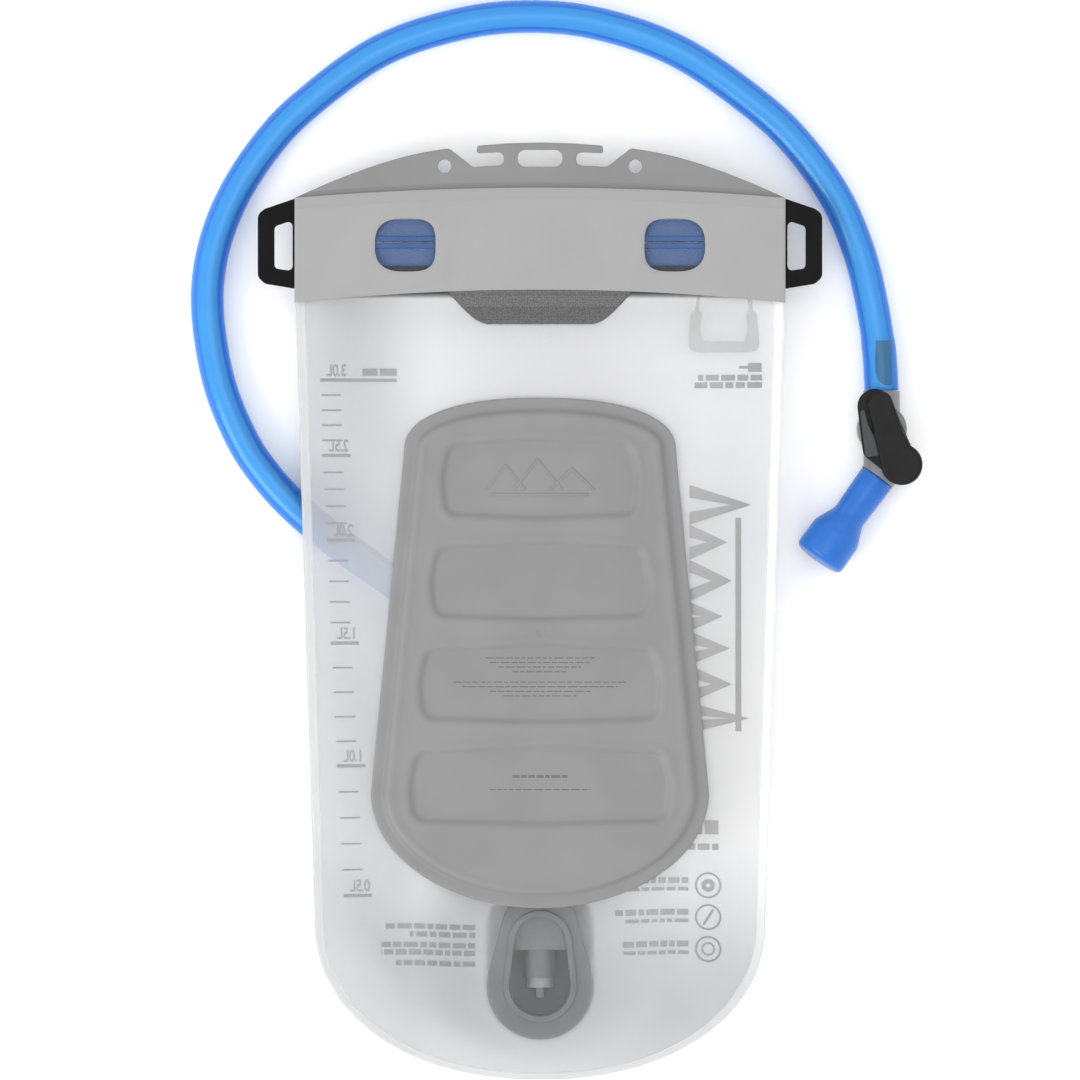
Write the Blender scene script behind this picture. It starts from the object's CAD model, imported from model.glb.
"""Hydration bladder lying on its front, back side up, with its drinking tube laid round the hanger.

Lengths in the builders' arguments are millimetres in the part's own frame; meshes are made in metres.
"""

import math

import bmesh
import bpy
import numpy as np
from mathutils import Matrix, Vector


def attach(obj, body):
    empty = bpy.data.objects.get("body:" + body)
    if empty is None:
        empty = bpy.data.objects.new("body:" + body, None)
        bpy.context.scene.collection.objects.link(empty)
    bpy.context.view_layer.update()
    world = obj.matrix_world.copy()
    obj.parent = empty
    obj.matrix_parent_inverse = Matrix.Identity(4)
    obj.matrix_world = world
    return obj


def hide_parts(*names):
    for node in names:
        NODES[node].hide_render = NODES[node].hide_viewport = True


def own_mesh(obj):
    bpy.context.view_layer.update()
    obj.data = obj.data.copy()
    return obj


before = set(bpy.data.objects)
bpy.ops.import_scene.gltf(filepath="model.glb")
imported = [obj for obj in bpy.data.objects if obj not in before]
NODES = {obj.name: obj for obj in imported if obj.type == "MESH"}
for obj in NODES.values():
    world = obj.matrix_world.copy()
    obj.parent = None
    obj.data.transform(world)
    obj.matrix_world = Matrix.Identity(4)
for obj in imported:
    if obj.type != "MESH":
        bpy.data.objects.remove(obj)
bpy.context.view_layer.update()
MM = 0.001


# ---------- camera, light and floor ----------
# The bag is seen from straight above, the hanger up, in even studio light from a wide box overhead
# and a lower one to the left of the bag's foot. The floor is matt white board.
VIEW_WIDTH = 475.2
VIEW_MIDDLE_Y = 31.24
VIEW_PLANE_Z = 14.0
LENS = 300.0
SENSOR = 36.0
STUDIO_LIGHT = 1.37      # how much the surroundings outshine an even white
WORLD_SHARE = 0.84       # what the even surroundings give of it; the boxes give the rest
FLOOR_Z = -0.0003


def rgb(text):
    """Linear colour of an sRGB hex string."""
    parts = [int(text[i:i + 2], 16) / 255 for i in (1, 3, 5)]
    return [c / 12.92 if c <= 0.04045 else ((c + 0.055) / 1.055) ** 2.4 for c in parts] + [1.0]


def seen(text):
    """Paint that shows as the given colour under the studio's light."""
    return [c / STUDIO_LIGHT for c in rgb(text)[:3]] + [1.0]


def link_object(obj):
    bpy.context.scene.collection.objects.link(obj)
    return obj


def aim(obj, target):
    obj.rotation_mode = "QUATERNION"
    obj.rotation_quaternion = (Vector(target) - obj.location).to_track_quat("-Z", "Y")


def soft_box(name, place, target, size, power):
    lamp = bpy.data.lights.new(name, "AREA")
    lamp.shape = "RECTANGLE"
    lamp.size, lamp.size_y = size
    lamp.energy = power
    obj = link_object(bpy.data.objects.new(name, lamp))
    obj.location = place
    aim(obj, target)
    obj.visible_camera = False


def node(tree, kind, **values):
    """A node with its properties and input values set; inputs are named with spaces as underscores."""
    made = tree.nodes.new(kind)
    for key, value in values.items():
        if key.startswith("in_"):
            made.inputs[key[3:].replace("_", " ")].default_value = value
        else:
            setattr(made, key, value)
    return made


def join(tree, source, target):
    tree.links.new(source, target)


def studio():
    scene = bpy.context.scene
    scene.view_settings.view_transform = "Standard"
    scene.cycles.max_bounces = 48
    scene.cycles.diffuse_bounces = 24
    scene.cycles.glossy_bounces = 8
    scene.cycles.transmission_bounces = 40
    camera = link_object(bpy.data.objects.new("camera", bpy.data.cameras.new("camera")))
    camera.data.lens, camera.data.sensor_width = LENS, SENSOR
    distance = VIEW_WIDTH * LENS / SENSOR
    camera.location = (0, VIEW_MIDDLE_Y * MM, (VIEW_PLANE_Z + distance) * MM)
    camera.data.clip_start, camera.data.clip_end = 0.1, 20
    scene.camera = camera

    world = bpy.data.worlds.new("studio")
    scene.world = world
    world.use_nodes = True
    world.node_tree.nodes["Background"].inputs["Color"].default_value = rgb("#ffffff")
    world.node_tree.nodes["Background"].inputs["Strength"].default_value = WORLD_SHARE * STUDIO_LIGHT

    soft_box("box_overhead", (0.2, 0.25, 1.7), (0, 0.03, 0), (0.9, 0.9), 3.8)
    soft_box("box_left", (-1.35, -0.85, 1.15), (0, 0, 0), (1.0, 1.0), 17)

    floor = bpy.data.meshes.new("floor")
    reach = 3.0
    corners = [(x * reach, y * reach, FLOOR_Z) for x, y in ((-1, -1), (1, -1), (1, 1), (-1, 1))]
    floor.from_pydata(corners, [], [(0, 1, 2, 3)])
    board = link_object(bpy.data.objects.new("floor", floor))
    paint = bpy.data.materials.new("white_board")
    paint.use_nodes = True
    tree = paint.node_tree
    shader = tree.nodes["Principled BSDF"]
    place = node(tree, "ShaderNodeTexCoord")
    grain = node(tree, "ShaderNodeTexNoise", in_Scale=350.0, in_Detail=3.0)
    mix = node(tree, "ShaderNodeMapRange", in_To_Min=0.965, in_To_Max=0.985)
    tint = node(tree, "ShaderNodeCombineColor")
    join(tree, place.outputs["Object"], grain.inputs["Vector"])
    join(tree, grain.outputs["Fac"], mix.inputs["Value"])
    for channel in ("Red", "Green", "Blue"):
        join(tree, mix.outputs["Result"], tint.inputs[channel])
    join(tree, tint.outputs["Color"], shader.inputs["Base Color"])
    shader.inputs["Roughness"].default_value = 0.8
    board.data.materials.append(paint)


studio()


# ---------- shared builders ----------
# Meshes come from grids of points, from outlines with rounded edges and from turned profiles. Each goes
# on a CAD body with one call, and CAD parts that are kept get rounded edges.
def clamp(v, low, high):
    return np.minimum(np.maximum(v, low), high)


def ease(u):
    return np.sin(np.pi / 2 * clamp(u, 0, 1))


def smooth(u):
    t = clamp(u, 0, 1)
    return t * t * (3 - 2 * t)


def full_turn(count):
    """Evenly spaced angles once round."""
    return np.linspace(0, 2 * np.pi, count, endpoint=False)


def stack(x, y, z):
    return np.stack([x, y, z], axis=2)


def evaluated_mesh(obj):
    """New mesh of the object with its modifiers or its curve worked out."""
    bpy.context.view_layer.update()
    return bpy.data.meshes.new_from_object(obj.evaluated_get(bpy.context.evaluated_depsgraph_get()))


def mesh_object(name, points, faces, shade=True):
    mesh = bpy.data.meshes.new(name)
    mesh.from_pydata([tuple(p) for p in np.asarray(points, float) * MM], [],
                     [tuple(int(i) for i in f) for f in faces])
    mesh.validate()
    mesh.update()
    if shade:
        mesh.polygons.foreach_set("use_smooth", [True] * len(mesh.polygons))
    return link_object(bpy.data.objects.new(name, mesh))


def settle(obj, paint, body, stands_for=(), sharp=None):
    """Gives a piece its material, body, CAD nodes and slot; edges steeper than sharp stay hard."""
    obj.data.materials.clear()
    obj.data.materials.append(paint)
    if sharp is not None:
        obj.data.set_sharp_from_angle(angle=math.radians(sharp))
    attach(obj, body)
    if stands_for:
        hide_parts(*stands_for)


def grid_faces(rows, columns, base=0, flip=False, wrap=False):
    faces = []
    for i in range(rows - 1):
        for j in range(columns if wrap else columns - 1):
            k = (j + 1) % columns
            quad = (base + i * columns + j, base + i * columns + k, base + (i + 1) * columns + k,
                    base + (i + 1) * columns + j)
            faces.append(quad[::-1] if flip else quad)
    return faces


def closed_sheet(top, bottom):
    """Points and faces of a closed sheet between two grids of points, shaped (rows, columns, 3)."""
    rows, columns = top.shape[:2]
    count = rows * columns
    faces = grid_faces(rows, columns, flip=True) + grid_faces(rows, columns, base=count)
    ring = list(range(columns)) + [i * columns + columns - 1 for i in range(1, rows)]
    ring += [(rows - 1) * columns + j for j in range(columns - 2, -1, -1)]
    ring += [i * columns for i in range(rows - 2, 0, -1)]
    for a, b in zip(ring, ring[1:] + ring[:1]):
        faces.append((a, b, b + count, a + count))
    return np.concatenate([top.reshape(-1, 3), bottom.reshape(-1, 3)]), faces


def fix_outward(obj):
    work = bmesh.new()
    work.from_mesh(obj.data)
    bmesh.ops.remove_doubles(work, verts=work.verts, dist=1e-7)
    bmesh.ops.recalc_face_normals(work, faces=work.faces)
    work.to_mesh(obj.data)
    work.free()
    return obj


def sheet_object(name, x, y, top, low):
    """Closed sheet over a plan, between an upper and a lower height field."""
    return fix_outward(mesh_object(name, *closed_sheet(stack(x, y, top), stack(x, y, low))))


def outline_object(name, loops, low, high, edge=0.25, steps=2):
    """Flat piece between two heights, from an outline and its holes, with edges rounded to a radius."""
    curve = bpy.data.curves.new(name, "CURVE")
    curve.dimensions = "2D"
    curve.fill_mode = "BOTH"
    for loop in loops:
        spline = curve.splines.new("POLY")
        spline.points.add(len(loop) - 1)
        for point, p in zip(spline.points, loop):
            point.co = (p[0] * MM, p[1] * MM, 0, 1)
        spline.use_cyclic_u = True
    curve.bevel_depth = edge * MM
    curve.offset = -edge * MM
    curve.bevel_resolution = steps
    curve.extrude = ((high - low) / 2 - edge) * MM
    holder = link_object(bpy.data.objects.new(name, curve))
    holder.location = (0, 0, (high + low) / 2 * MM)
    mesh = evaluated_mesh(holder)
    mesh.transform(holder.matrix_world)
    bpy.data.objects.remove(holder)
    bpy.data.curves.remove(curve)
    mesh.name = name
    mesh.polygons.foreach_set("use_smooth", [True] * len(mesh.polygons))
    return fix_outward(link_object(bpy.data.objects.new(name, mesh)))


def turned(name, profile, sides=64, matrix=None):
    """Piece turned about Z from a closed profile of (radius, height)."""
    profile = np.array(profile, float)
    angles = full_turn(sides)
    points = np.stack([np.outer(np.cos(angles), profile[:, 0]), np.outer(np.sin(angles), profile[:, 0]),
                       np.tile(profile[:, 1], (sides, 1))], axis=2)
    count = len(profile)
    faces = []
    for i in range(sides):
        for j in range(count):
            k, n = (j + 1) % count, (i + 1) % sides
            faces.append((i * count + j, n * count + j, n * count + k, i * count + k))
    obj = mesh_object(name, points.reshape(-1, 3), faces)
    if matrix is not None:
        obj.data.transform(matrix)
    return fix_outward(obj)


def rounded(points, steps=6):
    """Closed outline with a rounded corner at each (x, y, radius)."""
    out = []
    count = len(points)
    for i, (x, y, r) in enumerate(points):
        b = np.array([x, y], float)
        if r <= 0:
            out.append(b)
            continue
        u = np.array(points[i - 1][:2], float) - b
        v = np.array(points[(i + 1) % count][:2], float) - b
        u, v = u / np.linalg.norm(u), v / np.linalg.norm(v)
        half = math.acos(max(-1, min(1, float(u @ v)))) / 2
        w = u + v
        middle = b + w / np.linalg.norm(w) * r / math.sin(half)
        start, end = b + u * r / math.tan(half) - middle, b + v * r / math.tan(half) - middle
        a = math.atan2(start[1], start[0])
        turn = (math.atan2(end[1], end[0]) - a + math.pi) % (2 * math.pi) - math.pi
        for k in range(steps + 1):
            c = a + turn * k / steps
            out.append(middle + r * np.array([math.cos(c), math.sin(c)]))
    return out


def soften(name, paint, slot=None, width=0.25, angle=35):
    """Shows a CAD node with its own material and rounded edges."""
    obj = NODES[name]
    obj.data.materials.clear()
    obj.data.materials.append(paint)
    weld = obj.modifiers.new("weld", "WELD")
    weld.merge_threshold = 2e-6
    if width:
        bevel = obj.modifiers.new("edge", "BEVEL")
        bevel.limit_method = "ANGLE"
        bevel.angle_limit = math.radians(angle)
        bevel.width = width * MM
        bevel.segments = 2
        bevel.harden_normals = True


# ---------- finishes ----------
# Every finish is a Principled shader whose colour, roughness and relief come from noise at the real size
# of the surface's grain. Sizes are in millimetres.
def blank(name):
    paint = bpy.data.materials.new(name)
    paint.use_nodes = True
    tree = paint.node_tree
    shader = tree.nodes["Principled BSDF"]
    place = node(tree, "ShaderNodeTexCoord")
    return paint, tree, shader, place.outputs["Object"]


def noise_at(tree, place, size, detail=3.0, rough=0.55):
    made = node(tree, "ShaderNodeTexNoise", in_Scale=1000.0 / size, in_Detail=detail, in_Roughness=rough)
    join(tree, place, made.inputs["Vector"])
    return made.outputs["Fac"]


def spread_of(tree, value, low, high, start=0.3, end=0.7):
    made = node(tree, "ShaderNodeMapRange", in_From_Min=start, in_From_Max=end, in_To_Min=low, in_To_Max=high)
    join(tree, value, made.inputs["Value"])
    return made.outputs["Result"]


def math_of(tree, operation, *values):
    """A math node whose inputs are, in order, links or plain numbers."""
    made = node(tree, "ShaderNodeMath", operation=operation)
    for socket, value in zip(made.inputs, values):
        if isinstance(value, (int, float)):
            socket.default_value = value
        else:
            join(tree, value, socket)
    return made.outputs["Value"]


def blend_of(tree, factor, a, b):
    made = node(tree, "ShaderNodeMix", data_type="RGBA")
    join(tree, factor, made.inputs["Factor"])
    made.inputs["A"].default_value = a if isinstance(a, list) else (1, 1, 1, 1)
    made.inputs["B"].default_value = b if isinstance(b, list) else (1, 1, 1, 1)
    for name, value in (("A", a), ("B", b)):
        if not isinstance(value, list):
            join(tree, value, made.inputs[name])
    return made.outputs["Result"]


def relief(tree, shader, height, depth, strength=1.0, before=None):
    made = node(tree, "ShaderNodeBump", in_Strength=strength, in_Distance=depth * MM)
    join(tree, height, made.inputs["Height"])
    if before is not None:
        join(tree, before, made.inputs["Normal"])
    join(tree, made.outputs["Normal"], shader.inputs["Normal"])


def plastic(name, dark, light, rough=(0.4, 0.5), grain=0.35, depth=0.02, mottle=14.0, shine=0.5):
    """Moulded plastic: slow mottling of the colour, fine grain in the relief and in the roughness."""
    paint, tree, shader, place = blank(name)
    fine = noise_at(tree, place, grain)
    slow = noise_at(tree, place, mottle, detail=2.0)
    join(tree, blend_of(tree, spread_of(tree, slow, 0, 1), seen(dark), seen(light)),
         shader.inputs["Base Color"])
    join(tree, spread_of(tree, fine, rough[0], rough[1]), shader.inputs["Roughness"])
    relief(tree, shader, fine, depth)
    shader.inputs["Specular IOR Level"].default_value = shine
    return paint


TUBE_INDEX = 1.06         # kept low so that the bore is not magnified to the full width of the tube
FILM_INDEX = 1.08         # kept low so that light is not trapped in the thin sheets
FILM_MARKS = ("weld", "contact", "lining", "dull")
WELD_LOSS = 0.2           # how much less clear a weld is than the open film
CONTACT_CLEAR = 0.95      # how clear the film is where it lies on the port


def clear_tpu(name, tint, absorb, density, body=0.2, rough=0.12, wave=18.0):
    """Extruded TPU: clear wall that takes more colour the thicker it is, with slow die lines in it."""
    paint, tree, shader, place = blank(name)
    slow = noise_at(tree, place, wave, detail=1.0)
    fine = noise_at(tree, place, 0.8)
    shader.inputs["Coat Weight"].default_value = 0.5
    shader.inputs["Coat Roughness"].default_value = 0.12
    shader.inputs["Base Color"].default_value = rgb(tint)
    join(tree, spread_of(tree, fine, rough * 0.8, rough * 1.3), shader.inputs["Roughness"])
    shader.inputs["Transmission Weight"].default_value = 1 - body
    shader.inputs["IOR"].default_value = TUBE_INDEX
    relief(tree, shader, slow, 0.05, 0.4)
    volume = node(tree, "ShaderNodeVolumeAbsorption", in_Density=density)
    volume.inputs["Color"].default_value = rgb(absorb)
    join(tree, volume.outputs["Volume"], tree.nodes["Material Output"].inputs["Volume"])
    return paint


def silicone(name, dark, light, rough=(0.3, 0.42), radius=2.5, weight=0.55, grain=0.5, shine=0.4):
    """Pressed silicone: light travels a little way under a satin skin."""
    paint = plastic(name, dark, light, rough, grain=grain, depth=0.012, mottle=9.0, shine=shine)
    shader = paint.node_tree.nodes["Principled BSDF"]
    shader.inputs["Subsurface Weight"].default_value = weight
    shader.inputs["Subsurface Radius"].default_value = (0.35, 0.6, 1.0)
    shader.inputs["Subsurface Scale"].default_value = radius * MM
    return paint


def frosted_film(name, clear, rough):
    """Frosted film: milky and see-through, with a fine matt bloom; welded parts are denser."""
    paint, tree, shader, place = blank(name)
    bloom = noise_at(tree, place, 0.6, detail=4.0)
    cloud = noise_at(tree, place, 60.0, detail=2.0)
    weld, contact, lining, dull = (node(tree, "ShaderNodeAttribute", attribute_name=mark).outputs["Fac"]
                                   for mark in FILM_MARKS)
    milk = blend_of(tree, spread_of(tree, cloud, 0, 1), rgb("#fefeff"), rgb("#ffffff"))
    milk = blend_of(tree, dull, milk, rgb("#e4e5e6"))
    join(tree, blend_of(tree, lining, milk, rgb("#8b8e92")), shader.inputs["Base Color"])
    sheer = spread_of(tree, weld, clear, clear - WELD_LOSS, 0, 1)
    sheer = math_of(tree, "MULTIPLY_ADD", contact, max(0.0, CONTACT_CLEAR - clear), sheer)
    join(tree, sheer, shader.inputs["Transmission Weight"])
    join(tree, spread_of(tree, bloom, rough * 0.9, rough * 1.12), shader.inputs["Roughness"])
    shader.inputs["Specular IOR Level"].default_value = 0.3
    shader.inputs["IOR"].default_value = FILM_INDEX
    shader.distribution = "MULTI_GGX"
    relief(tree, shader, bloom, 0.012, 0.5)
    return paint


def ribbed(name, dark, light, pitch, rough=0.7, depth=0.12, angle=0.0):
    """Woven or knurled cover: crossing ribs at a real pitch, with fibre noise between them."""
    paint, tree, shader, place = blank(name)
    turn = node(tree, "ShaderNodeMapping")
    turn.inputs["Rotation"].default_value = (0, 0, math.radians(angle))
    turn.inputs["Scale"].default_value = (1000 / pitch, 1000 / pitch, 1000 / pitch)
    join(tree, place, turn.inputs["Vector"])
    cells = node(tree, "ShaderNodeTexVoronoi", in_Scale=1.0, in_Randomness=0.55)
    join(tree, turn.outputs["Vector"], cells.inputs["Vector"])
    fibre = noise_at(tree, place, pitch * 0.5, detail=4.0)
    knot = spread_of(tree, cells.outputs["Distance"], 1, 0, 0.05, 0.6)
    height = math_of(tree, "MULTIPLY_ADD", fibre, 0.5, knot)
    tone = spread_of(tree, height, 0, 1, 0.3, 1.1)
    join(tree, blend_of(tree, tone, seen(dark), seen(light)), shader.inputs["Base Color"])
    shader.inputs["Roughness"].default_value = rough
    relief(tree, shader, height, depth, 0.7)
    return paint


def metal(name, tone="#b9bcc0", rough=(0.22, 0.34)):
    """Drawn stainless wire, polished by drawing, with fine scratches."""
    paint = plastic(name, tone, tone, rough, grain=0.2, depth=0.004, mottle=3.0)
    paint.node_tree.nodes["Principled BSDF"].inputs["Metallic"].default_value = 1.0
    return paint


def seam_line(paint, side, middle, low, high, tone, depth=0.12):
    """Presses a weld seam along the header's arched edge, from low to high millimetres beyond it."""
    blur = 0.35
    tree = paint.node_tree
    shader = tree.nodes["Principled BSDF"]
    place = next(n for n in tree.nodes if n.bl_idname == "ShaderNodeTexCoord").outputs["Object"]
    parts = node(tree, "ShaderNodeSeparateXYZ")
    join(tree, place, parts.inputs["Vector"])
    square = math_of(tree, "POWER", math_of(tree, "ABSOLUTE", parts.outputs["X"]), 2.0)
    bend = (middle - side) * MM / (BAND_HALF * MM) ** 2
    beyond = math_of(tree, "MULTIPLY_ADD", square, bend, parts.outputs["Y"])
    beyond = math_of(tree, "SUBTRACT", beyond, middle * MM)
    ramps = []
    for at, start, end in ((low, 0.0, 1.0), (high, 1.0, 0.0)):
        ramp = node(tree, "ShaderNodeMapRange", interpolation_type="SMOOTHSTEP", in_To_Min=start,
                    in_To_Max=end, in_From_Min=(at - blur) * MM, in_From_Max=(at + blur) * MM)
        join(tree, beyond, ramp.inputs["Value"])
        ramps.append(ramp.outputs["Result"])
    mask = math_of(tree, "MULTIPLY", *ramps)
    old_tone = shader.inputs["Base Color"].links[0].from_socket
    join(tree, blend_of(tree, mask, old_tone, seen(tone)), shader.inputs["Base Color"])
    old_normal = shader.inputs["Normal"].links[0].from_socket
    relief(tree, shader, math_of(tree, "MULTIPLY", mask, -1.0), depth, 1.0, old_normal)


# ---------- drinking tube ----------
# Clear blue TPU tube, 14.5 mm across with an 8.8 mm bore, laid from the port under the bag, round the hanger
# and down to the valve. It is swept along the route, and stretched a little over the two barbs.
TUBE_R = 7.25
BORE_R = 4.4
SLEEVE_R = 7.55
SLEEVE_BORE = 4.45
ROUTE = [
    (0, -128, 8), (0, -114, 8), (0, -100, 7.6), (0, -85, 7.3), (-3, -63, 7.25), (-10.5, -42, 7.25),
    (-23, -22, 7.25), (-41, -5.5, 7.25), (-66, 13.5, 7.25), (-87, 28.5, 7.25), (-105, 43, 7.25),
    (-119, 57.5, 7.25), (-131, 75, 7.25), (-141.5, 101, 7.25), (-146.5, 132, 7.25), (-144.5, 157, 7.25),
    (-136, 181, 7.25), (-121.5, 204, 7.25), (-103.5, 223, 7.25), (-71, 246.5, 7.25), (-36, 258.5, 7.25),
    (-4.5, 262, 7.25), (27, 258.5, 7.25), (62, 246, 7.25), (96, 222.5, 7.25), (115, 204, 7.25),
    (131, 181, 7.25), (141, 157, 7.25), (146.5, 134, 7.25), (149.5, 114, 7.6), (150.5, 97, 8.4),
]
TUBE_SIDES = 44


def through(points, steps):
    """Smooth line through points (Catmull-Rom)."""
    p = np.array(points, float)
    p = np.vstack([2 * p[0] - p[1], p, 2 * p[-1] - p[-2]])
    out = []
    for i in range(1, len(p) - 2):
        a, b, c, d = p[i - 1:i + 3]
        for t in np.arange(steps) / steps:
            square, cube = 2 * a - 5 * b + 4 * c - d, 3 * b - a - 3 * c + d
            out.append(0.5 * (2 * b + (c - a) * t + square * t ** 2 + cube * t ** 3))
    return np.array(out + [p[-2]])


def swept(name, line, outer, inner=None, sides=40):
    """Tube along a line. outer and inner are radii for each point; without inner the tube is solid."""
    ahead = np.gradient(line, axis=0)
    ahead /= np.linalg.norm(ahead, axis=1)[:, None]
    side = np.cross(ahead, (0, 0, 1))
    side /= np.linalg.norm(side, axis=1)[:, None]
    up = np.cross(side, ahead)
    a = full_turn(sides)
    spoke = side[:, None] * np.cos(a)[None, :, None] + up[:, None] * np.sin(a)[None, :, None]
    count = len(line)
    points = [(line[:, None] + spoke * np.asarray(outer)[:, None, None]).reshape(-1, 3)]
    faces = grid_faces(count, sides, wrap=True)
    last = (count - 1) * sides
    if inner is None:
        faces += [tuple(range(sides))[::-1], tuple(range(last, last + sides))]
    else:
        points.append((line[:, None] + spoke * np.asarray(inner)[:, None, None]).reshape(-1, 3))
        base = count * sides
        faces += grid_faces(count, sides, base=base, flip=True, wrap=True)
        for j in range(sides):
            k = (j + 1) % sides
            faces.append((j, k, base + k, base + j))
            faces.append((last + j, base + last + j, base + last + k, last + k))
    return fix_outward(mesh_object(name, np.concatenate(points), faces))


def drinking_tube():
    line = through(ROUTE, 14)
    along = np.concatenate([[0], np.cumsum(np.linalg.norm(np.diff(line, axis=0), axis=1))])
    near_end = smooth((along - (along[-1] - 25)) / 5) + smooth((21 - along) / 5)
    outer = TUBE_R + (SLEEVE_R - TUBE_R) * near_end
    inner = BORE_R + (SLEEVE_BORE - BORE_R) * near_end
    tube = swept("drinking_tube", line, outer, inner, sides=TUBE_SIDES)
    wall = clear_tpu("blue_tpu_extruded", "#84cdf4", "#5ce2fe", 330.0, body=0.1)
    lining = plastic("blue_tpu_bore", "#eaf5ff", "#f8fcff", (0.5, 0.6), grain=0.6, depth=0.004, mottle=20.0)
    settle(tube, wall, "tube", ["drink_tube"])
    tube.data.materials.append(lining)
    first_in_bore = len(line) * TUBE_SIDES
    in_bore = [int(min(face.vertices) >= first_in_bore) for face in tube.data.polygons]
    tube.data.polygons.foreach_set("material_index", in_bore)
    return tube, line


tube, tube_line = drinking_tube()


# ---------- films ----------
# Two frosted TPU films welded round the edge. The back one rises to a flat top under the plate; the front
# one lies on the table and is lifted over the tube's route. Both are closed sheets of 0.5 mm.
FILM_HALF_TOP, FILM_HALF_LOW = 107.5, 99.0
HEADER_Y, FILM_TOP_Y, DOME_Y, ROUND_Y, FOOT_Y = 136.8, 151.6, 133.8, -136.0, -205.9
ROUND_LEN = ROUND_Y - FOOT_Y
ROUND_N = 2.15
WELD_W = 4.0
WELD_Z = 18.0
BACK_Z = 34.0
FILM_T = 0.5
FRONT_Z = 17.2
BAND_HALF = 107.8
PORT_LINE = ((0, -165), (0, -140))
BACK_SWELL, FRONT_SWELL = (30, 40), (45, 70)      # how far in from side and top each film is full


def side_half(y):
    t = clamp((HEADER_Y - y) / (HEADER_Y - ROUND_Y), 0, 1)
    return FILM_HALF_TOP + (FILM_HALF_LOW - FILM_HALF_TOP) * t


def film_half(y):
    v = clamp((ROUND_Y - y) / ROUND_LEN, 0, 1)
    low = FILM_HALF_LOW * np.maximum(0, 1 - v ** ROUND_N) ** (1 / ROUND_N)
    return np.where(y >= ROUND_Y, side_half(y), low)


def edge_in(x, y):
    u = np.abs(x) / FILM_HALF_LOW
    v = np.maximum(ROUND_Y - y, 0) / ROUND_LEN
    round_edge = FILM_HALF_LOW * (1 - (u ** ROUND_N + v ** ROUND_N) ** (1 / ROUND_N))
    return np.where(y >= ROUND_Y, side_half(y) - np.abs(x), round_edge)


def swell(x, y, side, top):
    return ease((edge_in(x, y) - WELD_W) / side) * ease((DOME_Y - y) / top)


def off_line(x, y, a, b):
    """Distance from the straight line between two points."""
    a, b = np.asarray(a, float), np.asarray(b, float)
    d = b - a
    t = clamp(((x - a[0]) * d[0] + (y - a[1]) * d[1]) / (d @ d), 0, 1)
    return np.hypot(x - a[0] - t * d[0], y - a[1] - t * d[1])


def back_top(x, y):
    full = WELD_Z + 0.8 + 0.85 * smooth((y - 137.5) / 3.5)
    full = full + (BACK_Z - WELD_Z - 0.8) * swell(x, y, *BACK_SWELL)
    sink = smooth((55 - off_line(x, y, *PORT_LINE)) / 30)
    return full - np.maximum(0, full - (WELD_Z + 4.1)) * sink


UNDER = np.array([(0, -190)] + [(x, y + 8) for x, y, z in ROUTE[:12]], float)


def lift(x, y):
    near = np.full(np.shape(x), 1e9)
    for a, b in zip(UNDER, UNDER[1:]):
        near = np.minimum(near, off_line(x, y, a, b))
    return smooth((60 - near) / 28)


def front_under(x, y):
    return FRONT_Z * (1 - swell(x, y, *FRONT_SWELL) * (1 - lift(x, y)))


def soft_waves(x, y, seed):
    """Slow unevenness of a film, from 0 to 1."""
    draw = np.random.default_rng(seed)
    total = np.zeros(np.shape(x))
    for _ in range(7):
        a, p = draw.uniform(0, np.pi), draw.uniform(0, 2 * np.pi)
        wave = draw.uniform(35, 90)
        total += np.sin((x * np.cos(a) + y * np.sin(a)) * 2 * np.pi / wave + p)
    return 0.5 + total / 14


def film_plan(rows=170, columns=120):
    straight = np.linspace(FILM_TOP_Y, ROUND_Y, int(rows * 0.72))
    curved = ROUND_Y - ROUND_LEN * np.sin(np.radians(np.linspace(0, 87.5, rows - len(straight) + 1)))[1:]
    y = np.concatenate([straight, curved])
    t = np.linspace(-1, 1, columns)
    t = 0.35 * np.sin(t * np.pi / 2) + 0.65 * t
    half = film_half(y)
    return t[None, :] * half[:, None], np.repeat(y[:, None], columns, axis=1)


def weld_marks(obj):
    """Marks the welded rim, the parts on the port and under the header, and the duller foot and left."""
    co = np.array([v.co for v in obj.data.vertices]) / MM
    edge = edge_in(co[:, 0], co[:, 1])
    welded = smooth((WELD_W + 0.4 - edge) / 0.8)
    port = smooth((25.5 - off_line(co[:, 0], co[:, 1], *PORT_LINE)) / 4)
    header = smooth((co[:, 1] - 138.5) / 1.0)
    left, foot = smooth((-45 - co[:, 0]) / 50), smooth((-95 - co[:, 1]) / 85)
    dull = clamp(0.85 * left + 0.9 * foot, 0, 1)
    for name, value in zip(FILM_MARKS, (welded, port, header, dull)):
        made = obj.data.attributes.new(name, "FLOAT", "POINT")
        made.data.foreach_set("value", value.astype(np.float32))


def cut(obj, loop, low, high):
    """Cuts a straight-sided hole with this outline through a mesh."""
    count = len(loop)
    points = [(p[0], p[1], z) for z in (low, high) for p in loop]
    faces = [tuple(range(count))[::-1], tuple(range(count, 2 * count))]
    faces += [(i, (i + 1) % count, (i + 1) % count + count, i + count) for i in range(count)]
    tool = fix_outward(mesh_object("tool", points, faces, shade=False))
    change = obj.modifiers.new("cut", "BOOLEAN")
    change.operation, change.object, change.solver = "DIFFERENCE", tool, "EXACT"
    mesh = evaluated_mesh(obj)
    obj.modifiers.clear()
    obj.data = mesh
    bpy.data.objects.remove(tool)


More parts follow.
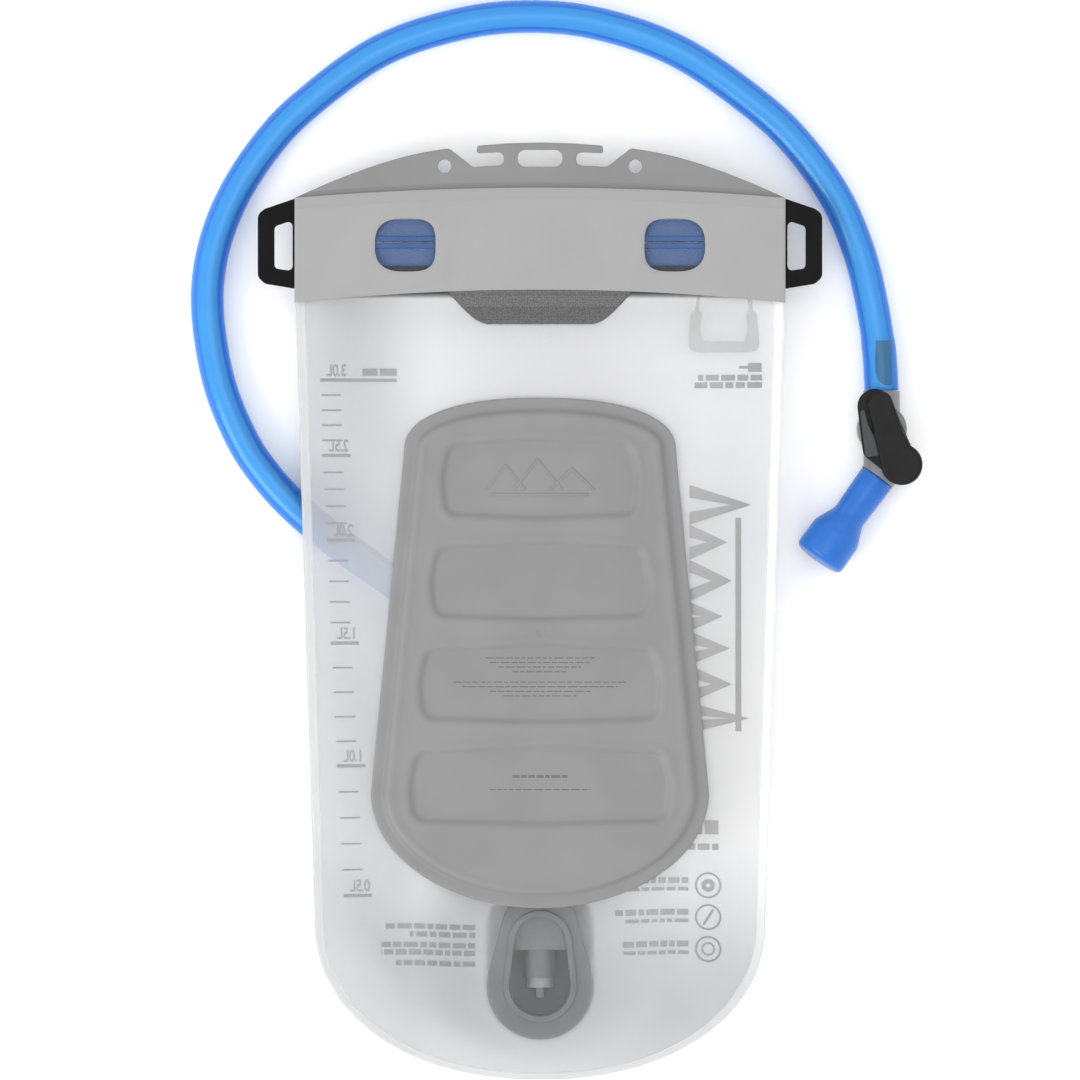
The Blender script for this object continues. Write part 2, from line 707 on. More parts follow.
def teardrop(low, top, inset=0.0, steps=32):
    """Two round ends of different radius on the Y axis, joined by their tangents; each end is (y, radius)."""
    lean = math.asin((low[1] - top[1]) / (top[0] - low[0]))
    first = math.pi - lean + (math.pi + 2 * lean) * np.arange(steps + 1) / steps
    second = lean + (math.pi - 2 * lean) * np.arange(steps + 1) / steps
    return ([(math.cos(a) * (low[1] - inset), low[0] + math.sin(a) * (low[1] - inset)) for a in first]
            + [(math.cos(a) * (top[1] - inset), top[0] + math.sin(a) * (top[1] - inset)) for a in second])


TUB_LOW, TUB_TOP = (-164.5, 16.3), (-145.5, 14.0)
FRONT_WAVE = 0.3


def films():
    x, y = film_plan()
    top = back_top(x, y) - 0.35 * soft_waves(x, y, 4) * swell(x, y, *BACK_SWELL) - 0.02
    back = sheet_object("back_film_sheet", x, y, top, top - FILM_T)
    weld_marks(back)
    settle(back, frosted_film("frosted_tpu_film_back", 0.8, 0.04), "bag", ["back_film"])
    waves = FRONT_WAVE * soft_waves(x, y, 9) * swell(x, y, *FRONT_SWELL) * lift(x, y)
    low = front_under(x, y) + waves + 0.02
    front = sheet_object("front_film_sheet", x, y, low + FILM_T, low)
    cut(front, teardrop(TUB_LOW, TUB_TOP, -0.4), WELD_Z - 4, WELD_Z + 2)
    weld_marks(front)
    settle(front, frosted_film("frosted_tpu_film_front", 0.8, 0.12), "bag", ["front_film"])


films()


# ---------- scale and marks printed on the front film ----------
# Grey ink on the front film, to be read from the front, so it shows mirrored here. It is a scale in
# half litres with its figures, round badges, plain bars in place of words, and a row of peaks.
INK_GAP = 0.03
SCALE_Y = (101.6, 68.4, 31.2, -14.1, -68.2, -125.4)
SCALE_X = (-96.6, -95.6, -93.6, -92.0, -89.4, -86.4)
FIGURES = ("3.0L", "2.5L", "2.0L", "1.5L", "1.0L", "0.5L")
FIGURE_TALL = 5.3
TICK_LONG, TICK_WIDE, TICK_MIDDLE = 8.7, 0.8, 4.55
PEAKS = ((17.5, 27.0), (15.5, 16.5), (18.5, 18.5), (13.0, 14.5), (15.0, 17.5), (16.5, 18.5), (13.5, 26.0))
PEAKS_FOOT, PEAKS_START, PEAK_EDGE = 66.0, 55.5, 5.6


def flat_grid(x0, y0, x1, y1, step=2.0):
    """Points and faces of a flat rectangle, split finely enough to follow the film."""
    nx, ny = max(2, int(abs(x1 - x0) / step) + 2), max(2, int(abs(y1 - y0) / step) + 2)
    gx, gy = np.meshgrid(np.linspace(x0, x1, nx), np.linspace(y0, y1, ny))
    return np.stack([gx.ravel(), gy.ravel()], axis=1), grid_faces(ny, nx)


def ring_grid(x, y, outer, inner, steps=36):
    a = full_turn(steps)
    points = [np.stack([x + r * np.cos(a), y + r * np.sin(a)], axis=1) for r in (inner, outer)]
    faces = [(i, (i + 1) % steps, (i + 1) % steps + steps, i + steps) for i in range(steps)]
    return np.concatenate(points), faces


def polygon_grid(points):
    return np.array(points, float), [tuple(range(len(points)))]


def merged(parts):
    """Several flat shapes as one set of points and faces."""
    points, faces, base = [], [], 0
    for co, part in parts:
        points.append(co)
        faces += [tuple(i + base for i in f) for f in part]
        base += len(co)
    return np.concatenate(points), faces


def figure_shapes(text, x, y, height):
    """Figures as flat shapes, mirrored, with their right end at x and their foot at y."""
    curve = bpy.data.curves.new("figures", "FONT")
    curve.body = text
    curve.size = height * 1.38 * MM
    curve.space_character = 0.95
    curve.offset = 0.12 * MM
    curve.resolution_u = 4
    holder = link_object(bpy.data.objects.new("figures", curve))
    mesh = evaluated_mesh(holder)
    co = np.array([v.co[:2] for v in mesh.vertices]) / MM
    faces = [tuple(f.vertices) for f in mesh.polygons]
    bpy.data.objects.remove(holder)
    bpy.data.curves.remove(curve)
    co[:, 0] = x - co[:, 0] * 0.74
    co[:, 1] += y
    return co, faces


def tick_tree(paint):
    """Geometry Nodes for the short lines between two figures of the scale, in mm."""
    tree = bpy.data.node_groups.new("scale_ticks", "GeometryNodeTree")
    for name, kind in (("Count", "Int"), ("Step", "Vector"), ("Length", "Float"), ("Width", "Float")):
        tree.interface.new_socket(name, in_out="INPUT", socket_type="NodeSocket" + kind)
    tree.interface.new_socket("Geometry", in_out="OUTPUT", socket_type="NodeSocketGeometry")
    sizes = node(tree, "NodeGroupInput")
    places = node(tree, "GeometryNodeMeshLine")
    bar = node(tree, "GeometryNodeMeshGrid")
    bar.inputs["Vertices X"].default_value = 6
    bar.inputs["Vertices Y"].default_value = 2
    copies = node(tree, "GeometryNodeInstanceOnPoints")
    real = node(tree, "GeometryNodeRealizeInstances")
    painted = node(tree, "GeometryNodeSetMaterial")
    painted.inputs["Material"].default_value = paint
    join(tree, sizes.outputs["Count"], places.inputs["Count"])
    join(tree, sizes.outputs["Step"], places.inputs["Offset"])
    join(tree, sizes.outputs["Length"], bar.inputs["Size X"])
    join(tree, sizes.outputs["Width"], bar.inputs["Size Y"])
    join(tree, places.outputs["Mesh"], copies.inputs["Points"])
    join(tree, bar.outputs["Mesh"], copies.inputs["Instance"])
    join(tree, copies.outputs["Instances"], real.inputs["Geometry"])
    join(tree, real.outputs["Geometry"], painted.inputs["Geometry"])
    join(tree, painted.outputs["Geometry"], node(tree, "NodeGroupOutput").inputs["Geometry"])
    return tree


def tick_row(tree, first, step):
    """Points and faces of four ticks, the first at the given middle, made plain from the tree."""
    values = {"Count": 4, "Step": step, "Length": TICK_LONG, "Width": TICK_WIDE}
    holder = link_object(bpy.data.objects.new("tick_row", bpy.data.meshes.new("tick_row")))
    maker = holder.modifiers.new("ticks", "NODES")
    maker.node_group = tree
    for socket in tree.interface.items_tree:
        if socket.in_out == "INPUT":
            maker[socket.identifier] = values[socket.name]
    mesh = evaluated_mesh(holder)
    co = np.array([v.co[:2] for v in mesh.vertices]) + first
    faces = [tuple(f.vertices) for f in mesh.polygons]
    bpy.data.objects.remove(holder)
    return co, faces


def printed_marks():
    parts = []
    paint = plastic("screen_ink", "#1c1d1e", "#242526", (0.55, 0.7), grain=0.25, depth=0.004, mottle=6.0)
    for k, (y, x) in enumerate(zip(SCALE_Y, SCALE_X)):
        parts.append(flat_grid(x, y - 0.75, x + (33.5 if k == 0 else 12.4), y + 0.75))
        parts.append(figure_shapes(FIGURES[k], x + 11.6, y + 1.9, FIGURE_TALL))
    x, y = SCALE_X[0], SCALE_Y[0]
    parts += [flat_grid(x + start, y + 2.0, x + end, y + 5.2) for start, end in ((18.5, 25), (26, 33.5))]
    ticks = tick_tree(paint)
    for k in range(5):
        step = ((SCALE_X[k + 1] - SCALE_X[k]) / 5, (SCALE_Y[k + 1] - SCALE_Y[k]) / 5, 0)
        parts.append(tick_row(ticks, (SCALE_X[k] + step[0] + TICK_MIDDLE, SCALE_Y[k] + step[1]), step))
    # bars in place of the lines of words
    draw = np.random.default_rng(21)

    def words(right, y, width, height):
        x = right
        while x > right - width:
            long = draw.uniform(2.2, 6.5)
            parts.append(flat_grid(max(x - long, right - width), y, x, y + height))
            x -= long + 1.0

    for y, width in ((-140.2, 40), (-143.7, 29), (-148.3, 41.5), (-151.6, 41.5), (-156.4, 35)):
        words(-28.5, y, width, 2.3)
    for y in (-121.0, -135.0, -149.0):
        words(65.5, y + 0.9, 33 if y > -149 else 29, 2.6)
        words(65.5, y - 2.4, 29, 1.6)
        parts.append(ring_grid(74.1, y, 5.8, 4.9))
    parts.append(ring_grid(74.1, -121.0, 2.9, 0.9))
    parts.append(polygon_grid([(71.6, -138.0), (72.4, -138.8), (76.8, -132.0), (76.0, -131.2)]))
    parts.append(ring_grid(74.1, -149.0, 3.0, 2.2))
    words(78.6, -98.5, 27, 6.2)
    words(78.6, -105.4, 25, 2.8)
    words(97.6, 101.4, 28.5, 2.6)
    words(97.6, 98.1, 29.5, 2.6)
    parts += [flat_grid(91.5, 105.2, 97.4, 109.2), flat_grid(87.5, 106.6, 91.5, 107.8)]
    # a row of peaks over a long bar, standing on its side
    parts.append(flat_grid(86.0, -53, 88.6, 41, 4.0))
    y = PEAKS_START
    for wide, tall in PEAKS:
        y -= wide
        mid, tip = y + wide / 2, PEAKS_FOOT + tall
        foot = [(PEAKS_FOOT, y + up) for up in (wide, wide - PEAK_EDGE, PEAK_EDGE, 0)]
        loop = foot[:2] + [(tip - 1.6 * PEAK_EDGE, mid)] + foot[2:] + [(tip, mid)]
        parts.append(polygon_grid(loop[::-1]))
    flat, faces = merged(parts)
    z = front_under(flat[:, 0], flat[:, 1]) + FRONT_WAVE + FILM_T + INK_GAP
    ink = mesh_object("printed_marks", np.column_stack([flat, z]), faces)
    settle(ink, paint, "bag")


printed_marks()


# ---------- back plate ----------
# Moulded grey plate with a flat rim, a raised field and four shallow panels. It is one height field over
# its outline; the steps are rounded as they come from the mould.
PLATE_LOW = 34.05
PLATE_RIM = 1.6
PLATE_FIELD = 4.0
PANEL_DEPTH = 1.7
PRINT_GAP = 0.02
PANELS = ((58.0, 18.8, 44.3), (13.2, 18.3, 49.2), (-31.7, 18.4, 54.2), (-76.4, 18.3, 58.4))


def plate_edge(steps=40):
    a = np.radians(np.linspace(0, 90, steps))
    low = np.stack([74 * np.sin(a), -79.6 - 50.3 * np.cos(a)], axis=1)
    n = 2.33
    top = np.stack([59.5 * np.cos(a) ** (2 / n), 70.2 + 23.3 * np.sin(a) ** (2 / n)], axis=1)
    right = np.concatenate([low, top])
    left = right[::-1] * (-1, 1)
    return np.concatenate([right, left[1:-1]])


def inside_distance(px, py, loop):
    """Distance in from a closed outline, negative outside it."""
    best = np.full(px.shape, 1e9)
    inside = np.zeros(px.shape, bool)
    for a, b in zip(loop, np.roll(loop, -1, axis=0)):
        d = b - a
        if d @ d < 1e-12:
            continue
        t = clamp(((px - a[0]) * d[0] + (py - a[1]) * d[1]) / (d @ d), 0, 1)
        best = np.minimum(best, np.hypot(px - a[0] - t * d[0], py - a[1] - t * d[1]))
        crosses = (a[1] > py) != (b[1] > py)
        with np.errstate(divide="ignore", invalid="ignore"):
            at = a[0] + (py - a[1]) / (b[1] - a[1] if b[1] != a[1] else 1e-9) * d[0]
        inside ^= crosses & (px < at)
    return np.where(inside, best, -best)


def panel_loop(middle, high, wide):
    low, top = middle - high, middle + high
    corners = [(-wide, middle, 30), (2 - wide, low + 1.8, 7), (0, low + 0.2, 90), (wide - 2, low + 1.8, 7),
               (wide, middle, 30), (wide - 3.5, top - 2.6, 7), (0, top, 90), (3.5 - wide, top - 2.6, 7)]
    return np.array(rounded(corners, steps=9))


def back_plate():
    loop = plate_edge()
    foot = -129.9 + 6 * (1 - np.cos(np.linspace(0, np.pi / 2, 14)))
    head = 93.5 - 3.8 * (1 - np.sin(np.linspace(0, np.pi / 2, 12)))
    y = np.unique(np.concatenate([foot, np.linspace(-123.4, 89.6, 285), head]))
    y = y[(y > -129.88) & (y < 93.49)]
    right = loop[:80]
    half = np.interp(y, right[:, 1], right[:, 0])
    t = np.linspace(-1, 1, 190)
    x = t[None, :] * half[:, None]
    yy = np.repeat(y[:, None], len(t), axis=1)
    d = inside_distance(x, yy, loop)
    z = PLATE_LOW + PLATE_RIM - 0.45 * (1 - ease(d / 0.9))
    z = z + (PLATE_FIELD - PLATE_RIM) * smooth((d - 4.6) / 2.6)
    z += 0.35 * np.exp(-((d - 8.6) / 1.3) ** 2)
    for middle, high, wide in PANELS:
        inner = inside_distance(x, yy, panel_loop(middle, high, wide))
        z -= PANEL_DEPTH * smooth((inner + 0.2) / 3.4)
        z += 0.22 * np.exp(-((inner + 1.4) / 1.1) ** 2)
    gate = np.hypot(x, yy + 9.8)
    z += 0.25 * np.exp(-((gate - 1.8) / 0.5) ** 2) - 0.3 * np.exp(-(gate / 1.1) ** 2)
    plate = sheet_object("back_plate_moulding", x, yy, z, np.full(x.shape, PLATE_LOW))
    paint = plastic("grey_pe_moulding", "#8c8c8d", "#919192", (0.52, 0.62), grain=0.45, depth=0.018,
                    mottle=30.0)
    settle(plate, paint, "bag", ["back_plate"], sharp=50)
    return paint


def marks_on_plate(paint):
    """A low raised outline of peaks in the top panel, and flat bars in the two lower panels."""
    z = PLATE_LOW + PLATE_FIELD - PANEL_DEPTH
    loops = []
    for x0, x1, y0, tall in ((-24, -6, 53.5, 11), (-12, 10, 53.5, 13.5), (4, 24, 53.5, 9.5)):
        mid = (x0 + x1) / 2
        inner = [(x0 + 1.2, y0), (mid, y0 + tall - 1.4), (x1 - 1.2, y0)]
        loops.append([(x0, y0)] + inner + [(x1, y0), (mid, y0 + tall)])
    loops.append([(-21, 50.6), (21, 50.6), (21, 51.6), (-21, 51.6)])
    for i, loop in enumerate(loops):
        mark = outline_object(f"plate_mark_{i}", [loop], z - 0.15, z + 0.22 + 0.02 * i, edge=0.1, steps=1)
        settle(mark, paint, "bag")
    draw = np.random.default_rng(5)
    parts = []
    rows = [(-20.6, 24, 0.5), (-22.6, 22, 0.5), (-24.6, 18, 0.5), (-26.6, 12, 0.5), (-31.2, 38, 0.5),
            (-33.2, 34, 0.5), (-35.2, 22, 0.5), (-37.2, 16, 0.5), (-72.8, 12, 1.2), (-78.2, 22, 0.5)]
    for y, half, tall in rows:
        x = -half
        while x < half:
            wide = min(draw.uniform(1.6, 4.4), half - x)
            parts.append(polygon_grid([(x, y), (x + wide, y), (x + wide, y + tall), (x, y + tall)]))
            x += wide + 0.7
    flat, faces = merged(parts)
    ink = mesh_object("plate_print", np.column_stack([flat, np.full(len(flat), z + PRINT_GAP)]), faces)
    paint = plastic("pad_print_grey", "#6a6a6a", "#707070", (0.5, 0.6), grain=0.2, depth=0.003, mottle=6.0)
    settle(ink, paint, "bag")


marks_on_plate(back_plate())


# ---------- header bands ----------
# Two calendered grey TPU bands welded over the zip's tapes and the films. The back one has two windows
# with rounded edges and a pressed seam along its upper edge; the front one has the zip's long slot.
BAND_T = 0.9
BAND_BACK_Z, BAND_FRONT_Z = 20.6, 16.25
WINDOW_X, WINDOW_Y, WINDOW_W, WINDOW_H = 59.2, 160.8, 13.35, 11.65
BAND_FOOT, BAND_HEAD = (135.5, 141.2), (181.5, 186.0)      # at the sides, in the middle


def arch(x, side, middle):
    return middle - (middle - side) * (x / BAND_HALF) ** 2


def window_loop(side, steps=72):
    out = []
    for i in range(steps):
        a = 2 * math.pi * i / steps
        c, s = math.cos(a), math.sin(a)
        n = 2.7 if c > 0 else 3.4
        out.append((side * (WINDOW_X + math.copysign(WINDOW_W * abs(c) ** (2 / n), c)),
                    WINDOW_Y + math.copysign(WINDOW_H * abs(s) ** (2 / n), s)))
    return np.array(out if side > 0 else out[::-1])


def band_plan(step=0.8):
    columns = int(2 * BAND_HALF / step)
    x = np.linspace(-BAND_HALF, BAND_HALF, columns)
    t = np.linspace(0, 1, int(45 / step))
    low, high = arch(x, *BAND_FOOT), arch(x, *BAND_HEAD)
    return np.repeat(x[None, :], len(t), axis=0), low[None, :] + (high - low)[None, :] * t[:, None]


def ridge(x, y, start, end, width):
    along = (x - start[0]) * (end[0] - start[0]) + (y - start[1]) * (end[1] - start[1])
    t = clamp(along / math.dist(start, end) ** 2, 0.02, 0.98)
    return np.exp(-(off_line(x, y, start, end) / width) ** 2) * np.sin(np.pi * t) ** 0.5


def header_bands():
    x, y = band_plan()
    up = arch(x, *BAND_HEAD) - y
    aside = BAND_HALF - np.abs(x)
    edge = np.minimum(np.minimum(y - arch(x, *BAND_FOOT), up), aside)
    top = BAND_BACK_Z + BAND_T - 0.3 * (1 - ease(edge / 0.6))
    top = top - 0.18 * (1 - smooth((up - 4.6) / 0.9)) * smooth(aside / 8)
    top += 0.28 * ridge(x, y, (-38.5, 172), (-44, 142), 2.6) + 0.28 * ridge(x, y, (46.5, 172), (40, 142), 2.6)
    top += 0.30 * ridge(x, y, (0, 138), (0, 178), 26) - 0.12 * soft_waves(x, y, 3)
    for side in (-1, 1):
        near = -inside_distance(x, y, window_loop(side))
        top -= 0.45 * np.exp(-(np.maximum(near, 0) / 0.9) ** 2)
    back = sheet_object("header_band_back_sheet", x, y, top, np.full(x.shape, BAND_BACK_Z))
    for side in (-1, 1):
        cut(back, window_loop(side), BAND_BACK_Z - 2, BAND_BACK_Z + 4)
    paint = plastic("grey_tpu_calendered", "#a6a6a6", "#ababab", (0.5, 0.62), grain=0.7, depth=0.03,
                    mottle=40.0)
    seam_line(paint, *BAND_HEAD, -4.9, -0.4, "#a5a5a5", 0.05)
    settle(back, paint, "bag", ["header_band_back"], sharp=50)

    low = np.full(x.shape, BAND_FRONT_Z) + 0.3 * (1 - ease(edge / 0.6))
    front = sheet_object("header_band_front_sheet", x, y, np.full(x.shape, BAND_FRONT_Z + BAND_T), low)
    slot = rounded([(-98, 153, 4), (98, 153, 4), (98, 171.2, 4), (-98, 171.2, 4)])
    cut(front, slot, BAND_FRONT_Z - 3, BAND_FRONT_Z + 3)
    settle(front, paint, "bag", ["header_band_front"], sharp=50)


header_bands()


# ---------- hanger ----------
# Die-cut grey TPU sheet with two hooks, a slot and two holes, welded between the bands; the weld's
# groove shows above the band.
HANGER_Z, HANGER_T = 18.85, 1.2
HOLE_X, HOLE_Y, HOLE_R = 41.9, 195.4, 2.95


def arc(a, b, c, r, steps=6):
    """The rounded corner at b, between a and c."""
    return rounded([(a[0], a[1], 0), (b[0], b[1], r), (c[0], c[1], 0)], steps)[1:-1]


def hanger_shoulder(t):
    return (BAND_HALF - (BAND_HALF - 42) * t, 181.5 + 21.3 * (1 - (1 - t) ** 1.45))


def hanger_loops():
    right = [(95, 172), (95, 181)] + [hanger_shoulder(i / 18) for i in range(17)]
    right += arc(hanger_shoulder(16 / 18), (40, 203.4), (29.5, 195.2), 3)
    right += arc((40, 203.4), (29.5, 195.2), (16, 195.9), 3)
    right += arc((29.5, 195.2), (15.9, 195.9), (15.9, 201.7), 2.6)
    right += arc((15.9, 195.9), (15.9, 201.7), (28, 201.1), 2.6)
    right += arc((15.9, 201.7), (27.9, 201.1), (27.7, 204.9), 1.2)
    right += arc((27.9, 201.1), (27.6, 204.5), (14, 205.6), 1.2)
    right += [(14, 205.55), (0, 205.9)]
    outer = [tuple(p) for p in right] + [(-p[0], p[1]) for p in right[-2::-1]]
    slot = rounded([(-9.8, 195.3, 3.2), (9.8, 195.3, 3.2), (9.8, 202.6, 3.2), (-9.8, 202.6, 3.2)])
    holes = [[(s * HOLE_X + HOLE_R * math.cos(u), HOLE_Y + HOLE_R * math.sin(u)) for u in full_turn(40)]
             for s in (-1, 1)]
    return [outer, slot] + holes


def hanger():
    sheet = outline_object("hanger_sheet", hanger_loops(), HANGER_Z, HANGER_Z + HANGER_T, edge=0.3, steps=3)
    paint = plastic("grey_tpu_die_cut", "#898989", "#8e8e8e", (0.5, 0.62), grain=0.6, depth=0.025,
                    mottle=30.0)
    seam_line(paint, *BAND_HEAD, 0.2, 2.4, "#828282", 0.12)
    settle(sheet, paint, "bag", ["hanger"], sharp=40)


hanger()


# ---------- grip patch ----------
# Dark moulded rubber patch with a pebbled face, bonded to the back film under the header.
PATCH_TOP, PATCH_FOOT, PATCH_ROUND = 142, 126, 2.5


def grip_patch():
    corner = PATCH_FOOT + PATCH_ROUND * (1 - np.sin(np.linspace(0, np.pi / 2, 8)))[1:]
    start = PATCH_FOOT + PATCH_ROUND
    y = np.concatenate([np.linspace(PATCH_TOP, start, 28), corner])
    half = 25 + 17 * ((np.maximum(y, PATCH_FOOT) - PATCH_FOOT) / (PATCH_TOP - PATCH_FOOT)) ** 0.8
    half -= 2.6 * (1 - np.sqrt(np.maximum(0, 1 - ((start - np.minimum(y, start)) / PATCH_ROUND) ** 2)))
    t = np.linspace(-1, 1, 80)
    x = t[None, :] * half[:, None]
    yy = np.repeat(y[:, None], len(t), axis=1)
    edge = np.minimum(half[:, None] - np.abs(x), yy - PATCH_FOOT)
    low = back_top(0 * x, yy) + 0.05
    top = low + 0.35 + 0.5 * ease(edge / 0.8)
    patch = sheet_object("grip_patch_pad", x, yy, top, low)
    paint = ribbed("pebbled_rubber", "#5f5f60", "#848484", 0.75, rough=0.8, depth=0.12)
    settle(patch, paint, "bag", ["grip_patch"], sharp=60)


grip_patch()


# ---------- zip, end stops and finger loops ----------
# Blue woven tapes with two extruded tracks that press together, black moulded finger loops at both ends.
woven = ribbed("blue_woven_tape", "#445a85", "#7088b4", 0.6, rough=0.85, depth=0.06, angle=45)
extruded = plastic("blue_extruded_track", "#184c8b", "#1f5594", (0.3, 0.4), grain=0.3, depth=0.006)
black_pom = plastic("black_pom_moulding", "#0e0e0e", "#131313", (0.4, 0.5), grain=0.4, depth=0.01, shine=0.08)
for row in ("upper", "lower"):
    soften(f"zip_tape_{row}", woven, "blue_tape", 0.0)
    soften(f"zip_track_{row}", extruded, "blue_track", 0.2)
for side in ("left", "right"):
    soften(f"end_stop_{side}", extruded, "blue_track", 0.3)
    soften(f"end_tab_{side}", black_pom, "black_plastic", 0.5)


# ---------- slider and its pull ----------
# Moulded slider with a keel; a braided cord goes through it into a moulded grip.
SLIDER_X, EYE_Y, EYE_Z, CORD_R, CORD_HALF = 81.1, 160.5, 11.2, 0.9, 7.5
GRIP_Y, GRIP_Z = 129.4, 5.6


def pull_cord():
    ends = [(SLIDER_X + s * 12.5, GRIP_Y, GRIP_Z) for s in (-1, 1)]
    corners = [(SLIDER_X + s * CORD_HALF, EYE_Y, EYE_Z) for s in (-1, 1)]
    bends = [tuple(np.array(c) + (s * 0.5, 0.35, 0.0)) for s, c in zip((1, -1), corners)]
    eye = [(SLIDER_X + shift, EYE_Y, EYE_Z) for shift in (-5, 0, 5)]

    def leg(a, b):
        return [tuple(np.array(a) + (np.array(b) - a) * t) for t in (0, 0.3, 0.6, 0.9)]

    points = leg(ends[0], corners[0]) + bends[:1] + eye + bends[1:] + leg(ends[1], corners[1])[::-1]
    line = through(points, 8)
    cord = swept("pull_cord_braid", line, np.full(len(line), CORD_R), sides=20)
    braid = ribbed("grey_braid", "#3a3d41", "#5a5d61", 0.35, rough=0.8, depth=0.08, angle=45)
    settle(cord, braid, "pull", ["pull_cord"])


pull_cord()
dark_pom = plastic("dark_pom_moulding", "#222527", "#2a2d30", (0.36, 0.46), grain=0.4, depth=0.01)
soften("zip_slider", dark_pom, "dark_plastic", 0.3)
soften("pull_grip", dark_pom, "dark_plastic", 0.5)


# ---------- port, plug and valve inside it ----------
# Grey moulded port welded into the front film, with its release button, poppet and springs, and the plug
# that carries the tube. The button's spring is a coil that closes up as the button goes in.
SOCKET_Z, YOKE_Y = 8.0, -139.0
COIL_TURNS, COIL_WIRE, COIL_R, COIL_LEN, COIL_FRONT = 4, 0.2, 1.1, 2.85, -8.05


def button_spring(wire):
    t = np.linspace(0, 1, COIL_TURNS * 16 + 1)
    turn = 2 * np.pi * COIL_TURNS * t
    climb = COIL_WIRE + (COIL_LEN - 2 * COIL_WIRE) * t
    line = np.stack([COIL_R * np.cos(turn), COIL_R * np.sin(turn), climb], axis=1)
    coil = swept("button_spring_coil", line, np.full(len(line), COIL_WIRE), sides=8)
    place = Matrix.Translation((COIL_FRONT * MM, YOKE_Y * MM, SOCKET_Z * MM))
    coil.data.transform(place @ Matrix.Rotation(math.radians(-90), 4, "Y"))
    settle(coil, wire, "bag", ["button_spring"])
    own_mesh(coil)


grey_pp = plastic("grey_pp_moulding", "#868687", "#8d8d8e", (0.42, 0.52), grain=0.4, depth=0.012)
dark_pp = plastic("dark_pp_button", "#3a3b3d", "#424345", (0.4, 0.5), grain=0.35, depth=0.01)
pale_pp = plastic("pale_pp_moulding", "#c3c5c7", "#cdcfd1", (0.35, 0.45), grain=0.35, depth=0.008)
plug_pom = plastic("grey_pom_plug", "#77787a", "#808183", (0.35, 0.45), grain=0.35, depth=0.008)
black_nbr = silicone("black_nbr_ring", "#141414", "#1b1b1b", weight=0.05)
spring_wire = metal("drawn_spring_wire")
for name, paint, slot, edge in (("port_flange", grey_pp, "port_plastic", 0.4),
                                ("port_body", grey_pp, "port_plastic", 0.3),
                                ("release_button", dark_pp, "dark_plastic", 0.35),
                                ("valve_cage", pale_pp, "pale_plastic", 0.15),
                                ("poppet", pale_pp, "pale_plastic", 0.15),
                                ("poppet_spring", spring_wire, "spring_steel", 0.0),
                                ("tube_plug", plug_pom, "pale_plastic", 0.15),
                                ("plug_o_ring", black_nbr, "seal_rubber", 0.0),
                                ("tube_collar", dark_pp, "dark_plastic", 0.35)):
    soften(name, paint, slot, edge)
button_spring(spring_wire)


# ---------- shut-off valve ----------
# Grey moulded elbow with a spindle, a black lever with a round knob and an inset badge, and the silicone
# bite valve over the outlet.
ELBOW = (150.5, 61.5, 8.4)
LEVER_Z = 16.9
OUTLET_HEADING, OUTLET_TILT, OUTLET_START = -126.1, 5.2, 3.5
MOUTH_NECK, MOUTH_LEN = 21.8, 45.0


def outlet_matrix(start):
    heading = Matrix.Rotation(math.radians(OUTLET_HEADING), 4, "Z")
    heading = heading @ Matrix.Rotation(math.radians(90 - OUTLET_TILT), 4, "Y")
    return Matrix.Translation(Vector(ELBOW) * MM) @ heading @ Matrix.Translation((0, 0, start * MM))


def hull_loop(discs, steps=60):
    """Outline of the shape stretched round several discs of (x, y, r)."""
    angles = full_turn(steps * 3)
    rings = [np.stack([x + r * np.cos(angles), y + r * np.sin(angles)], axis=1) for x, y, r in discs]
    points = np.concatenate(rings)
    order = points[np.lexsort((points[:, 1], points[:, 0]))]

    def half(seq):
        out = []
        for p in seq:
            while len(out) > 1 and np.cross(out[-1] - out[-2], p - out[-2]) <= 1e-9:
                out.pop()
            out.append(p)
        return out[:-1]

    return np.array(half(order) + half(order[::-1]))


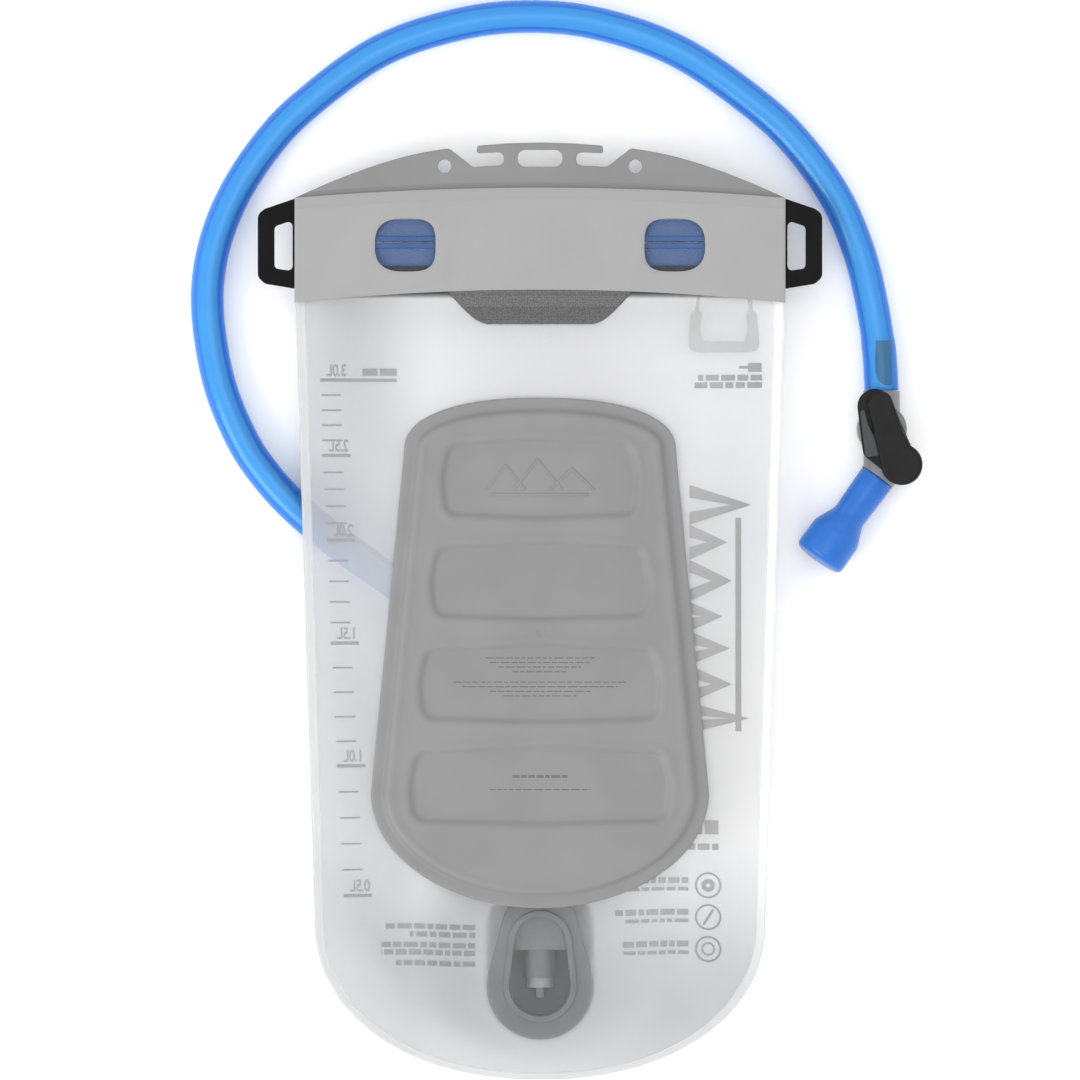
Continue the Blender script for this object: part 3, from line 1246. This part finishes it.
def shutoff_lever():
    """Lever built of four rounded layers that are fused into one skin."""
    shapes = (
        ("layer_a", [(147.2, 90, 7.7), (146.4, 71, 4.6), (159, 64.4, 7.1)], 0.0, 2.0, 0.5, 3),
        ("layer_b", [(149.4, 91.2, 5.6), (151.6, 84, 6.0), (155.5, 71, 6.4)], 0.5, 5.1, 1.6, 5),
        ("layer_c", [(159, 64.4, 9.1)], 0.0, 5.3, 1.7, 5),
        ("layer_d", [(152.6, 79, 6.2), (157.4, 66.4, 7.9)], 0.5, 5.2, 1.6, 5),
    )
    layers = [outline_object(name, [hull_loop(discs)], LEVER_Z + low, LEVER_Z + high, edge, steps)
              for name, discs, low, high, edge, steps in shapes]
    bpy.ops.object.select_all(action="DESELECT")
    for layer in layers:
        layer.select_set(True)
    bpy.context.view_layer.objects.active = layers[0]
    bpy.ops.object.join()
    lever = bpy.context.view_layer.objects.active
    lever.name = "shutoff_lever_moulding"
    fuse = lever.modifiers.new("fuse", "REMESH")
    fuse.mode, fuse.voxel_size = "VOXEL", 0.3 * MM
    ease_out = lever.modifiers.new("ease", "SMOOTH")
    ease_out.factor, ease_out.iterations = 0.5, 14
    mesh = evaluated_mesh(lever)
    lever.modifiers.clear()
    lever.data = mesh
    mesh.polygons.foreach_set("use_smooth", [True] * len(mesh.polygons))
    paint = plastic("black_abs_lever", "#1b1b1c", "#212121", (0.42, 0.5), grain=0.4, depth=0.01, shine=0.15)
    settle(lever, paint, "lever", ["shutoff_lever"])
    return lever


def bite_valve():
    """Turned silicone piece: neck, shoulder, and a closed end with a slit."""
    bore, neck, end = 4.34, MOUTH_NECK, MOUTH_LEN
    outside = [(bore, 0), (7.5, 0), (7.9, 0.5), (7.96, 1.2), (7.45, neck - 1.2), (7.55, neck - 0.3),
               (7.95, neck + 0.7), (10.9, neck + 7.6), (11.3, neck + 8.9), (11.4, neck + 10.4),
               (11.6, end - 3.4), (11.45, end - 2.3), (11.0, end - 1.4), (10.1, end - 0.7),
               (8.5, end - 0.3), (4.5, end - 0.05), (0.01, end)]
    inside = [(0.01, end - 2.5), (6, end - 2.6), (8.6, end - 3.4), (9.1, end - 4.6), (8.8, neck + 9.5),
              (bore, neck - 2.0)]
    mouth = turned("bite_valve", outside + inside, 72, outlet_matrix(OUTLET_START + 0.05))
    paint = silicone("blue_silicone_pressed", "#2474d4", "#2c7ede", (0.26, 0.36), radius=3.0, weight=0.35,
                     grain=0.6, shine=0.35)
    settle(mouth, paint, "tube", ["mouthpiece"], sharp=60)
    return mouth


elbow_pp = plastic("grey_pp_elbow", "#848587", "#8c8e90", (0.3, 0.4), grain=0.4, depth=0.01)
badge = plastic("grey_badge", "#303233", "#393b3c", (0.4, 0.5), grain=0.3, depth=0.006)
soften("valve_housing", elbow_pp, "valve_grey", 0.4)
soften("valve_spindle", pale_pp, "pale_plastic", 0.15)
soften("spindle_o_ring", black_nbr, "seal_rubber", 0.0)
soften("lever_badge", badge, "valve_grey", 0.15)
lever = shutoff_lever()
mouth = bite_valve()
